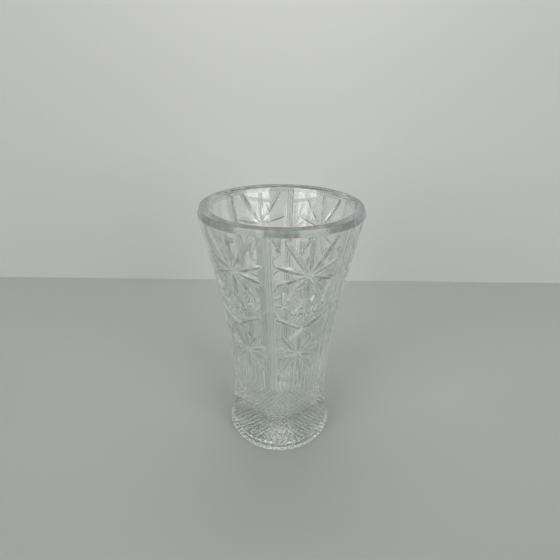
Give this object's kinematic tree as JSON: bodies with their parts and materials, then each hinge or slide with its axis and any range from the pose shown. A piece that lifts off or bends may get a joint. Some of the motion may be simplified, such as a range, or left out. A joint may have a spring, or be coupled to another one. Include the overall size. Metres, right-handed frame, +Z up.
{
  "type": "vase",
  "caption": "Tall flared vase of clear cut crystal with star panels between fluted columns, a diamond-cut band and a thick star-cut foot.",
  "frame": {"origin": "centre of the resting plane, on the axis of the vase", "axes": "+Z up along the axis of the vase, towards its mouth; +X outwards through the middle of a star panel"},
  "size_m": [0.1504, 0.1504, 0.25],
  "materials": {
    "crystal": "polished"
  },
  "bodies": {
    "root": {"base": "crystal", "diamond_band": "crystal", "mitre_wall": "crystal", "star_wall": "crystal", "rim": "crystal"}
  },
  "joints": []
}
